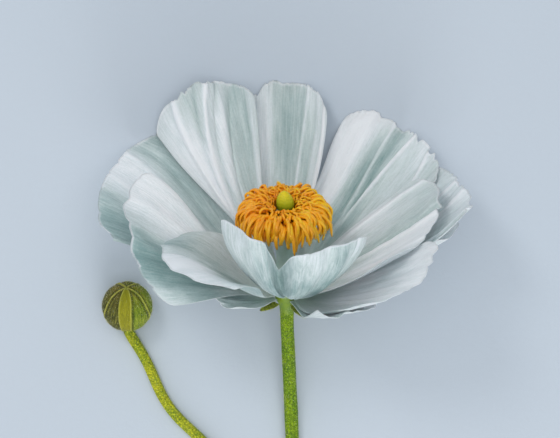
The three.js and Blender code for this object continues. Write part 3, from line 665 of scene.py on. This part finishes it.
def add_hairs(name, roots, normals, along, length, draw, slot):
    """Thin curved cones that grow from roots and bend over along the surface."""
    sides, steps = 3, 4
    points, faces = [], []
    cone = close_ends(np.zeros((steps, sides, 3)))[1]
    for root, normal, run in zip(roots, normals, along):
        size = length * draw.uniform(0.6, 1.2)
        lean = draw.uniform(0.3, 1.1)
        share = np.linspace(0, 1, steps)[:, None]
        sideways = unit(np.cross(normal, run)) * draw.uniform(-0.5, 0.5)
        path = root - 0.05 * normal + size * (normal * share * (1 - 0.35 * lean * share)
                                              + (run * lean + sideways) * share**2 * 0.6)
        if path[:, 2].min() < HAIR_CLEARANCE:
            continue
        radius = HAIR_RADIUS * (1.02 - share)
        rings = tube(path, radius, radius, sides, up=run + 0.01)
        faces += [[corner + len(points) * steps * sides for corner in face] for face in cone]
        points.append(rings.reshape(-1, 3))
    add_piece(name, np.vstack(points), faces, FINE_HAIRS, slot=slot)


def hairs_on(name, grid, count, length, draw, slot, keep):
    """Hairs spread over the area of a closed grid of points, as densely as keep says."""
    inner = grid[1:-1]
    down = np.gradient(inner, axis=0)
    around = np.gradient(np.hstack([inner[:, -1:], inner, inner[:, :1]]), axis=1)[:, 1:-1]
    normals = unit(np.cross(around, down))
    middle = inner.mean(axis=1, keepdims=True)
    if ((inner - middle) * normals).sum() < 0:
        normals = -normals
    girth = np.linalg.norm(inner - middle, axis=-1)
    weight = girth * np.linalg.norm(down, axis=-1) * keep(inner, normals)
    flat = weight.ravel() / weight.sum()
    chosen = draw.choice(flat.size, count, p=flat)
    jitter = draw.uniform(-0.5, 0.5, (count, 1)) * np.gradient(inner, axis=1).reshape(-1, 3)[chosen]
    add_hairs(name, inner.reshape(-1, 3)[chosen] + jitter, normals.reshape(-1, 3)[chosen],
              unit(down).reshape(-1, 3)[chosen], length, draw, slot)


def stem_path():
    down = lean_back([0, 0, -1], HEAD_LEAN)
    rest = STEM_RADIUS - JUNCTION[2]
    return curve_through([
        -1.5 * down, 8 * down, (0.5, -19, -11), (1.2, -34, -16.8), (1.8, -50, rest),
        (2.2, -FORK_RUN + 14, rest), (1.2, -FORK_RUN, rest), (0.4, -STEM_RUN, rest),
    ], 260) + JUNCTION


def stalk_path():
    rest = STALK_RADIUS - JUNCTION[2]
    foot = bud_point([0, 0, -1.22]) - JUNCTION
    seat = bud_point([0, 0, -0.97]) - JUNCTION
    return curve_through([
        (1.2, -FORK_RUN, STEM_RADIUS - JUNCTION[2]), (-4.5, -FORK_RUN + 11, rest + 0.3),
        (-21, -FORK_RUN + 38, rest), (-36.2, -34, rest), (-43.4, -19.5, rest), foot, seat,
    ], 200) + JUNCTION


STALK_HAIR_LENGTH = 0.75


def ribbed_stalk(name, path, radius, ribs, draw, material, hairs):
    """A stalk with shallow ribs along it, lying on the surface, and its hairs."""
    sides = 48
    phase = draw.uniform(0, 6.3, 3)

    def relief(t, angle):
        swell = np.cos(ribs * angle + 2 * np.sin(3 * t)) * 0.022
        return 1 + swell + 0.015 * np.sin(37 * t + phase[0]) + 0.01 * np.sin(3 * angle + 60 * t + phase[1])

    share = np.linspace(0, 1, len(path))
    rings = tube(path, radius(share), radius(share), sides, relief=relief)
    rings[..., 2] = np.maximum(rings[..., 2], 0)
    angle = around_circle(sides)
    rib_shading = 0.5 + 0.3 * np.cos(ribs * angle[None, :] + 2 * np.sin(3 * share[:, None]))
    add_piece(name, *close_ends(rings), material, replaces=["stem"], slot="stem", marks=dict(relief=rib_shading))

    def clear(places, normals):
        return (places[..., 2] > 0.4) * (normals[..., 2] > -0.6)

    hairs_on(name + "_hairs", rings, hairs, STALK_HAIR_LENGTH, draw, "stem", clear)


def make_stem():
    draw = np.random.default_rng(7)

    def stem_radius(t):
        """Wider at the neck and round the fork."""
        neck = 0.25 * np.maximum(0, 1 - t / 0.12)
        return STEM_RADIUS + neck + 0.45 * bell(t - 0.77, 0.035) + 0.1 * t

    def stalk_radius(t):
        return STALK_RADIUS + 0.55 * np.exp(-t / 0.05)

    green = green_material("stem_green", light=(0.19, 0.29, 0.008), dark=(0.09, 0.185, 0.006))
    ribbed_stalk("stem_skin", stem_path(), stem_radius, 9, draw, green, 1500)
    yellow = green_material("stalk_green", light=(0.4, 0.4, 0.018), dark=(0.19, 0.27, 0.012))
    ribbed_stalk("bud_stalk", stalk_path(), stalk_radius, 7, draw, yellow, 1000)
    make_receptacle()
    make_cut_end()


# Rings of the cut face, as share of the stem's radius and depth
CUT_RINGS = ((0.96, 0.3), (0.96, 0), (0.88, 0), (0.8, 0.07), (0.4, 0.12), (0.1, 0.14))


def make_cut_end():
    """The cut face of the stem: a ring of skin round pale pith with its vessels."""
    s = Surface("cut_pith")
    vessels = s.add("TexVoronoi", Vector=s.place(), Scale=2600).outputs["Distance"]
    colour = s.mix(s.ramp(vessels, (0.1, 1), (0.45, 0)), (0.62, 0.68, 0.36), (0.3, 0.38, 0.12))
    pith = s.finish(colour, 0.55, Normal=s.bump(vessels, 0.1))
    middle = JUNCTION + (0.4, -STEM_RUN - 0.05, STEM_RADIUS - JUNCTION[2])
    angle = around_circle(40)
    circle = np.stack([np.cos(angle), 0 * angle, np.sin(angle)], -1)
    rings = [middle + STEM_RADIUS * share * circle + (0, depth, 0) for share, depth in CUT_RINGS]
    add_piece("stem_cut", *close_ends(np.array(rings)), pith, slot="stem")


def cup_material():
    """Stem green under the petals and the pale grey-green of everything low in the cup above them."""
    s = Surface("cup_green")
    patches = s.noise(s.stretched(s.place(), (1, 1, 0.3)), 420, 3)
    light = s.ramp(patches, (0.3, 0), (0.7, 1))
    cup = s.mix(light, (0.38, 0.52, 0.45), (0.48, 0.6, 0.55))
    under = s.mix(light, (0.12, 0.22, 0.012), (0.23, 0.33, 0.02))
    colour = s.mix(s.ramp(s.mark("height"), (0.57, 0), (0.66, 1)), under, cup)
    return s.finish(colour, s.ramp(patches, (0.3, 0.5), (0.7, 0.65)), Normal=s.bump(patches, 0.1),
                    soft=(0.2, (0.8, 1, 0.7), 1))


# Outline of the receptacle from the stem upwards, as radius and height
RECEPTACLE_PROFILE = ((2.1, -5), (2.3, -3), (2.8, -1.4), (3.4, -0.4), (RECEPTACLE_RADIUS, 0.8),
                      (RECEPTACLE_RADIUS, 5.6), (3.3, 7.8), (2.9, 11), (2.7, 20), (2.6, 25),
                      (2.5, RECEPTACLE_TOP))


def make_receptacle():
    """The cone under the bloom, which carries sepals, petals, stamens and pistil."""
    line = curve_through([(*place, 0) for place in RECEPTACLE_PROFILE], 60)
    angle = around_circle(48)
    radius = line[:, :1] * (1 + 0.02 * np.cos(10 * angle))
    rings = heart_point(ring_point(radius, angle[None, :], line[:, 1:2]))
    height = np.broadcast_to(0.5 + line[:, 1:2] / 20, radius.shape)
    add_piece("receptacle", *close_ends(rings), cup_material(), slot="stem", marks=dict(height=height))


SEPAL_FOOT = (4.2, -0.5)  # radius and height of the sepals' roots
SEPAL_WIDTHS = (0.9, 1.9, 0.35)  # half widths at the root, at the widest and at the tip
SEPAL_MARGIN = 0.2  # thickness
SEPAL_HAIRS = 70
SEPAL_HAIR_LENGTH = 0.7


def make_sepals():
    material = green_material("sepal_green", light=(0.34, 0.36, 0.05), dark=(0.1, 0.15, 0.02))
    root, widest, tip = SEPAL_WIDTHS
    rows, columns = 40, 17
    u = np.linspace(0, 1, rows)[:, None]
    v = np.linspace(-1, 1, columns)
    thickness = sheet_thickness(rows, columns, SEPAL_THICKNESS, SEPAL_MARGIN)
    rib_shading = (0.4 + 0.5 * bell(v, 0.14) + 0 * u).ravel()
    draw = np.random.default_rng(23)
    for number, (azimuth, length, lift) in enumerate(SEPALS, 1):
        rise = np.radians(blend(lift, (u[:-1] + u[1:]) / 2))
        out, up = walk(rise, length / (rows - 1))
        r, z = SEPAL_FOOT[0] + out, SEPAL_FOOT[1] + up
        width = root * (1 - u) + tip * u + (widest - root) * np.sin(np.pi * u)
        boat = 0.35 * v**2 * width / widest - 0.18 * bell(v, 0.16) * (1 - u)
        points = lay_back(ring_point(r, math.radians(azimuth) + v * width / r, z + boat))
        solid, faces = sheet_solid(points, thickness)
        name = f"sepal_{number}"
        add_piece(name + "_blade", solid, faces, material, replaces=[name], slot="sepal",
                  marks=dict(relief=np.tile(rib_shading, 2)))
        normals = surface_normals(points)
        chosen = draw.integers(0, rows * columns, SEPAL_HAIRS)
        under, down, runs = (values.reshape(-1, 3)[chosen] for values in (
            points - normals * SEPAL_THICKNESS / 2, -normals, unit(np.gradient(points, axis=0))))
        add_hairs(name + "_hairs", under, down, runs, SEPAL_HAIR_LENGTH, draw, "sepal")


# ---- pistil and stamens

# From the dark foot to the yellow top
PISTIL_COLOURS = ((0, (0.04, 0.07, 0.004)), (0.25, (0.19, 0.27, 0.008)), (0.5, (0.4, 0.45, 0.01)),
                  (0.75, (0.66, 0.58, 0.012)), (0.95, (0.8, 0.62, 0.016)))


def pistil_material():
    s = Surface("pistil_green")
    cells = s.add("TexVoronoi", dict(feature="SMOOTH_F1"), Vector=s.place(), Scale=2100).outputs["Distance"]
    colour = s.ramp(s.mark("height"), *PISTIL_COLOURS)
    colour = s.mix(s.ramp(cells, (0.3, 0), (0.8, 0.3)), colour, (0.24, 0.28, 0.015))
    return s.finish(colour, 0.45, Normal=s.bump(cells, -0.08), Specular_IOR_Level=0.25,
                    soft=(0.2, (1, 0.9, 0.2), 1))


def make_pistil():
    """A smooth egg of small carpels in crossing spirals."""
    rows, sides = 90, 96
    t = np.linspace(0, 1, rows)[:, None]
    angle = around_circle(sides)[None, :]
    swell = np.maximum(0.03, (1 - 0.3 * (1 - t) ** 3) * (1 - t**2.3).clip(0) ** 0.56)
    spiral = 0.03 * np.cos(8 * angle + 14 * t) * np.cos(8 * angle - 20 * t) * np.sin(np.pi * t)
    radius = PISTIL_RADIUS * swell + spiral
    grid = ring_point(radius, angle, RECEPTACLE_TOP + 0.3 + PISTIL_HEIGHT * t)
    grid[..., 0] += PISTIL_SHIFT * (1 - 0.6 * t)
    grid = heart_point(grid)
    add_piece("pistil_head", *close_ends(grid), pistil_material(), replaces=["pistil"], slot="pistil",
              marks=dict(height=np.broadcast_to(t, (rows, sides))))


# From the dark foot of a filament to the tip of its anther
STAMEN_COLOURS = ((0, (0.04, 0.06, 0.004)), (0.2, (0.12, 0.11, 0.005)), (0.34, (0.6, 0.22, 0.004)),
                  (0.46, (1, 0.41, 0.005)), (1, (1, 0.48, 0.008)))
ANTHER_YELLOW = (1, 0.64, 0.016)
ANTHER_RED = (0.92, 0.27, 0.004)
ANTHER_PAINTED_SHADE = (0.8, 0.22, 0.003)
POLLEN = (1, 0.6, 0.04)


def stamen_material():
    """Mealy orange anthers, each with its own colour and yellower on the sunlit side, a painted light, and
    with a painted shade on its underside, on dark olive filaments.
    """
    s = Surface("stamen_gold")
    share = s.mark("share")
    tone_and_painted_light = s.mark("tone_and_painted_light")
    grains = s.noise(s.place(), 2600, 2, 0.6)
    # Yellow from each anther's own colour and from the painted sunlit side
    yellow = s.math("MULTIPLY", s.ramp(tone_and_painted_light, (0.55, 0), (1, 0.9)), s.ramp(share, (0.3, 0), (0.6, 1)))
    colour = s.mix(yellow, s.ramp(share, *STAMEN_COLOURS), ANTHER_YELLOW)
    colour = s.mix(s.ramp(tone_and_painted_light, (0, 0.5), (0.2, 0)), colour, ANTHER_RED)
    # A painted shade on the underside of each anther
    colour = s.mix(s.ramp(s.mark("back"), (0.15, 0.3), (0.45, 0)), colour, ANTHER_PAINTED_SHADE)
    colour = s.mix(s.ramp(grains, (0.5, 0), (0.8, 0.2)), colour, POLLEN)
    return s.finish(colour, 0.34, Normal=s.bump(grains, 0.06), Specular_IOR_Level=0.45,
                    soft=(0.15, (1, 0.5, 0.05), 0.6))


# Whorls of stamens from the pistil outwards: number, shortest and longest reach of the tips from the
# axis, how far the whorl lies under the topmost one, and radius of its anthers
STAMEN_WHORLS = (
    (46, 4.2, 5.8, 0.3, 0.13),
    (50, 5.6, 8, 0.4, 0.2),
    (50, 8.2, 11, 0.3, 0.32),
    (56, 11, 13.6, 0.5, 0.4),
    (60, 12.2, 14.6, 1.2, 0.42),
    (62, 12.6, 15.2, 2, 0.42),
    (60, 12.4, 14.2, 2.9, 0.42),
)
STAMEN_FOOT = (2.3, 26.6)  # distance from the axis and height of the roots
ARCH_HEIGHTS = (30.2, 31.8, 32.6, 31.2, 28.4)  # along a stamen, from its rise to its tip
FILAMENT_RADIUS = 0.12
# The anthers are painted yellower towards one side, a painted sunlit side
SUNLIT_SIDE = 20  # azimuth of the side where they are yellowest
SUNLIT_SHARE = 0.35


def stamen_path(draw, reach, under, azimuth, steps):
    """One stamen: out from the foot of the pistil, over an arch of its own, and down to its tip."""
    far = draw.uniform(*reach)
    near = smooth_step(13.5, 6, far)  # 1 for the short ones round the pistil
    lift = draw.normal(0, 0.4) - under
    drop = draw.uniform(0, 1) ** 1.5 * 3.1 * (1 - near)
    back = math.sin(azimuth) > 0.35
    if back and draw.uniform() < 0.35:
        drop, lift = -0.6, lift + 0.8
    sway = draw.normal(0, 1.3) * (0.3 + 0.7 * far / 14)
    bend = draw.normal(0, 0.7)
    hook = draw.uniform(0, 1.6) * (1 - near)
    rise, shoulder, crown, fall, tip = ARCH_HEIGHTS
    path = curve_through([
        (STAMEN_FOOT[0], 0, STAMEN_FOOT[1] - 0.4 * under),
        (3.4, 0.1 * sway, rise - 0.6 * under),
        (0.55 * far + 0.9, 0.3 * sway + 0.6 * bend, shoulder + lift),
        (0.83 * far + 0.1, 0.7 * sway - 0.5 * bend, crown + lift),
        (0.97 * far, sway, fall + 1.4 * near + lift - 0.35 * drop),
        (far - hook, 1.2 * sway + bend, tip + 4 * near + lift - drop),
    ], steps - 1)
    x, y, z = path.T
    cos, sin = math.cos(azimuth), math.sin(azimuth)
    return np.stack([x * cos - y * sin, x * sin + y * cos, z], -1)


def make_stamens():
    """Whorls of stamens round the pistil: thin filaments with long anthers that arch and droop."""
    draw = np.random.default_rng(11)
    steps, sides = 21, 8
    t = np.linspace(0, 1, steps)
    around = around_circle(sides)
    anther = smooth_step(0.22, 0.42, t) * np.sqrt(np.clip(1 - smooth_step(0.9, 1.02, t), 0.03, 1))

    def groove(share, angle):
        return 1 - 0.2 * smooth_step(0.4, 0.5, share) * np.cos(angle) ** 8

    points, faces, tones_and_sunlight = [], [], []
    shell = close_ends(np.zeros((steps, sides, 3)))[1]
    for count, nearest, farthest, under, thick in STAMEN_WHORLS:
        turn = draw.uniform(0, 6.3)
        for k in range(count):
            azimuth = 2 * np.pi * (k + draw.uniform(-0.45, 0.45)) / count + turn
            path = stamen_path(draw, (nearest, farthest), under, azimuth, steps)
            size = thick * draw.uniform(0.85, 1.15) * anther
            outward = np.array([math.cos(azimuth), math.sin(azimuth), 0.4])
            rings = tube(path, FILAMENT_RADIUS + size, FILAMENT_RADIUS + 0.75 * size, sides, outward,
                         groove)
            base = len(points) * steps * sides
            faces += [[corner + base for corner in face] for face in shell]
            points.append(heart_point(rings).reshape(-1, 3))
            # Each anther's own colour, with the painted light of the sunlit side
            sunny = SUNLIT_SHARE * math.cos(azimuth - math.radians(SUNLIT_SIDE))
            tones_and_sunlight.append(min(1, max(0, draw.uniform(0, 0.9) + sunny)))
    shares = np.tile(np.repeat(t, sides), len(points))
    # Where each point lies round its tube, for the painted shade on the underside
    painted_shade_sides = np.tile(0.5 - 0.5 * np.cos(around), steps * len(points))
    add_piece("stamen_ring", np.vstack(points), faces, stamen_material(), replaces=["stamens"],
              slot="stamen", marks=dict(tone_and_painted_light=np.repeat(tones_and_sunlight, steps * sides), share=shares, back=painted_shade_sides))


# ---- bud


def bud_point(places):
    """Points of the bud, in its own radii along its own axes."""
    middle = JUNCTION + (*BUD_PLACE, BUD_HEIGHT * BUD_RADIUS - JUNCTION[2])
    return lean_back(np.asarray(places, float) * BUD_RADIUS, BUD_LEAN) + middle


# Width of the bare strip from the stalk (0 degrees) to the tip (180), as a share of its widest
STRIP_POLAR = (0, 30, 60, 100, 130, 150, 168, 180)
STRIP_SHARE = (0.3, 0.62, 0.8, 1, 1, 0.82, 0.45, 0.1)
# Seams between the closed sepals: azimuth, half width of the bare strip in the seam, and sway
BUD_SEAMS = ((268, 1.95, 0.02), (338, 0.12, 0.16), (50, 0.12, -0.1), (126, 0.4, 0.1), (203, 0.12, -0.14))
BUD_SWELL = 0.955  # the sepals' surface, and what follows, in the bud's radii
SEAM_HEIGHT = 0.034
FURROW_DEPTH = 0.03
BULGE_HEIGHT = 0.018
KNOB_HEIGHT = 0.02
BUD_HAIRS = 1500
BUD_HAIR_LENGTH = 0.8
# Streaks on the bud's shaded side and on its sunny side
SHADED_STREAKS = ((0.36, (0.03, 0.036, 0.004)), (0.5, (0.085, 0.085, 0.01)), (0.68, (0.34, 0.33, 0.06)))
SUNNY_STREAKS = ((0.34, (0.055, 0.105, 0.006)), (0.5, (0.2, 0.27, 0.012)), (0.68, (0.46, 0.49, 0.06)))
BUD_BROWN = (0.3, 0.2, 0.03)
SEAM_YELLOW = (0.56, 0.54, 0.1)
SEAM_DARK = (0.05, 0.055, 0.006)


def bud_material():
    """Streaky green sepals, browner at the tip, with yellow edges and a smooth olive strip."""
    s = Surface("bud_green")
    lines = s.noise(s.stretched(s.surface_map(), (95, 8, 1)), 1, 4, 0.7, 1)
    specks = s.noise(s.place(), 1500, 3, 0.75)
    sunny = s.ramp(s.mark("side"), (0.35, 0), (0.65, 1))
    panel = s.mix(sunny, s.ramp(lines, *SHADED_STREAKS), s.ramp(lines, *SUNNY_STREAKS))
    brown = s.math("MULTIPLY", s.ramp(s.mark("height"), (0.66, 0), (0.92, 0.75)),
                   s.ramp(specks, (0.42, 0), (0.58, 1)))
    panel = s.mix(brown, panel, BUD_BROWN)
    smooth = s.mix(s.ramp(lines, (0.4, 0), (0.6, 0.8)), (0.33, 0.31, 0.01), (0.19, 0.19, 0.008))
    colour = s.mix(s.mark("strip"), panel, smooth)
    colour = s.mix(s.math("MULTIPLY", s.mark("furrow"), 0.7), colour, SEAM_DARK)
    crest = s.math("MULTIPLY", s.mark("crest"), s.ramp(specks, (0.3, 0.5), (0.55, 1)))
    colour = s.mix(crest, colour, SEAM_YELLOW)
    height = s.math("MULTIPLY_ADD", specks, 0.6, lines)
    return s.finish(colour, 0.58, Normal=s.bump(height, 0.28), Specular_IOR_Level=0.25)


def bud_seams(polar, angle):
    """How far each place lies past the nearest strip, in millimetres, and 1 within a bare strip."""
    nearest = np.full(np.broadcast(polar, angle).shape, 99.0)
    inside = np.zeros(nearest.shape)
    for azimuth, half, sway in BUD_SEAMS:
        middle = math.radians(azimuth) + sway * np.sin(2.2 * polar) * np.sin(polar)
        turn = (angle - middle + np.pi) % (2 * np.pi) - np.pi
        strip_half = half * np.interp(polar, np.radians(STRIP_POLAR), STRIP_SHARE)
        past = np.abs(turn) * np.sin(polar) * BUD_RADIUS - strip_half
        nearest = np.where(np.abs(past) < np.abs(nearest), past, nearest)
        inside = np.maximum(inside, (past < 0.05) * (half > 0.3))
    return nearest, inside


def make_bud():
    """Five closed sepals with thin raised edges, which meet in the tip."""
    rows, sides = 130, 260
    polar = np.pi * np.linspace(0.985, 0.04, rows)[::-1][:, None]  # from the stalk to the tip
    angle = around_circle(sides)[None, :]
    nearest, inside = bud_seams(polar, angle)
    rough = 0.5 + 0.5 * np.sin(9 * polar + 5 * angle) * np.sin(23 * polar - 3 * angle)
    ridge = bell(nearest, 0.17) * (0.7 + 0.3 * rough)
    furrow = bell(nearest - 0.6, 0.4)
    bulge = 1 - bell(np.maximum(nearest, 0), 2.2)
    relief = SEAM_HEIGHT * ridge - FURROW_DEPTH * furrow + BULGE_HEIGHT * bulge
    knob = KNOB_HEIGHT * bell(np.pi - polar, 0.22) * rough
    grow = BUD_SWELL + relief * np.sin(polar) ** 0.5 + knob
    place = ring_point(grow * np.sin(polar), angle, -grow * np.cos(polar))
    grid = bud_point(place)
    grid[..., 2] = np.maximum(grid[..., 2], 0)
    height = np.broadcast_to(polar / np.pi, (rows, sides))
    maps = np.stack([np.broadcast_to(angle / (2 * np.pi), (rows, sides)), 1 - height], -1).reshape(-1, 2)
    add_piece("bud_sepals", *close_ends(grid), bud_material(), replaces=["bud"], slot="bud", maps=maps,
              marks=dict(strip=inside, crest=np.clip(ridge, 0, 1), furrow=furrow * (nearest > 0),
                         side=0.5 + 0.5 * place[..., 0], height=height))

    def clear(places, normals):
        """Hairs on the sepals, a few on the strip and none near the floor."""
        return (places[..., 2] > 0.6) * (0.3 + (nearest[1:-1] > 0.3))

    hairs_on("bud_hairs", grid, BUD_HAIRS, BUD_HAIR_LENGTH, np.random.default_rng(5), "bud", clear)


# ---- the flower

for index, (name, shape) in enumerate(PETALS.items()):
    make_petal(index, name, shape)
make_sepals()
make_stem()
make_pistil()
make_stamens()
make_bud()

# ---- floor, light and camera

FLOOR_SIZE = 3000
CAMERA_HEIGHT = 900  # above the junction
CAMERA_OFFSET = (-2.1, 23.4)  # of the picture's middle from the junction
FOCAL_PIXELS = 3000  # focal length in pixels of the 560 wide picture
PICTURE_WIDTH = 560
CAMERA_CLIP = (0.05, 10)  # in metres

LIGHT_TARGET = (0, 30, 30)
LIGHTS = (  # name, place, diameter, power in watts and colour
    ("sky_panel", (10, 60, 1250), 1300, 4.5, (1, 0.99, 0.98)),
    ("key", (-420, 480, 900), 300, 2, (1, 0.99, 0.97)),
    ("front_fill", (180, -750, 620), 700, 2.6, (1, 0.99, 0.97)),
    ("low_fill", (60, -900, 260), 400, 1.5, (1, 0.99, 0.97)),
)
WORLD_COLOUR = (0.9, 0.95, 1, 1)
WORLD_STRENGTH = 0.58


def make_floor():
    s = Surface("pale_floor")
    weave = s.noise(s.place(), 900, 2)
    cloud = s.noise(s.place(), 3, 2)
    colour = s.mix(s.ramp(cloud, (0.3, 0), (0.7, 1)), (0.5, 0.56, 0.63), (0.53, 0.585, 0.65))
    material = s.finish(colour, s.ramp(weave, (0.3, 0.8), (0.7, 0.9)), Normal=s.bump(weave, 0.05),
                        Specular_IOR_Level=0.2)
    half = FLOOR_SIZE / 2
    mesh = bpy.data.meshes.new("floor")
    corners = [(-half, -half, 0), (half, -half, 0), (half, half, 0), (-half, half, 0)]
    mesh.from_pydata([[c * MM for c in corner] for corner in corners], [], [(0, 1, 2, 3)])
    mesh.materials.append(material)
    floor = new_object("floor", mesh)


def add_light(name, place, size, power, colour):
    light = bpy.data.lights.new(name, "AREA")
    light.shape = "DISK"
    light.size = size * MM
    light.energy = power
    light.color = colour
    lamp = new_object(name, light)
    lamp.location = np.asarray(place, float) * MM
    lamp.rotation_mode = "QUATERNION"
    lamp.rotation_quaternion = Vector(np.subtract(LIGHT_TARGET, place) * MM).to_track_quat("-Z", "Y")


def make_light():
    for light in LIGHTS:
        add_light(*light)
    world = bpy.data.worlds.new("studio")
    world.use_nodes = True
    background = world.node_tree.nodes["Background"].inputs
    background["Color"].default_value = WORLD_COLOUR
    background["Strength"].default_value = WORLD_STRENGTH
    bpy.context.scene.world = world
    bpy.context.scene.view_settings.view_transform = "Standard"


def make_camera():
    camera = bpy.data.cameras.new("camera")
    camera.sensor_width = 36
    camera.lens = camera.sensor_width * FOCAL_PIXELS / PICTURE_WIDTH
    camera.clip_start, camera.clip_end = CAMERA_CLIP
    eye = new_object("camera", camera)
    eye.location = (JUNCTION + (*CAMERA_OFFSET, CAMERA_HEIGHT)) * MM
    bpy.context.scene.camera = eye


make_floor()
make_light()
make_camera()
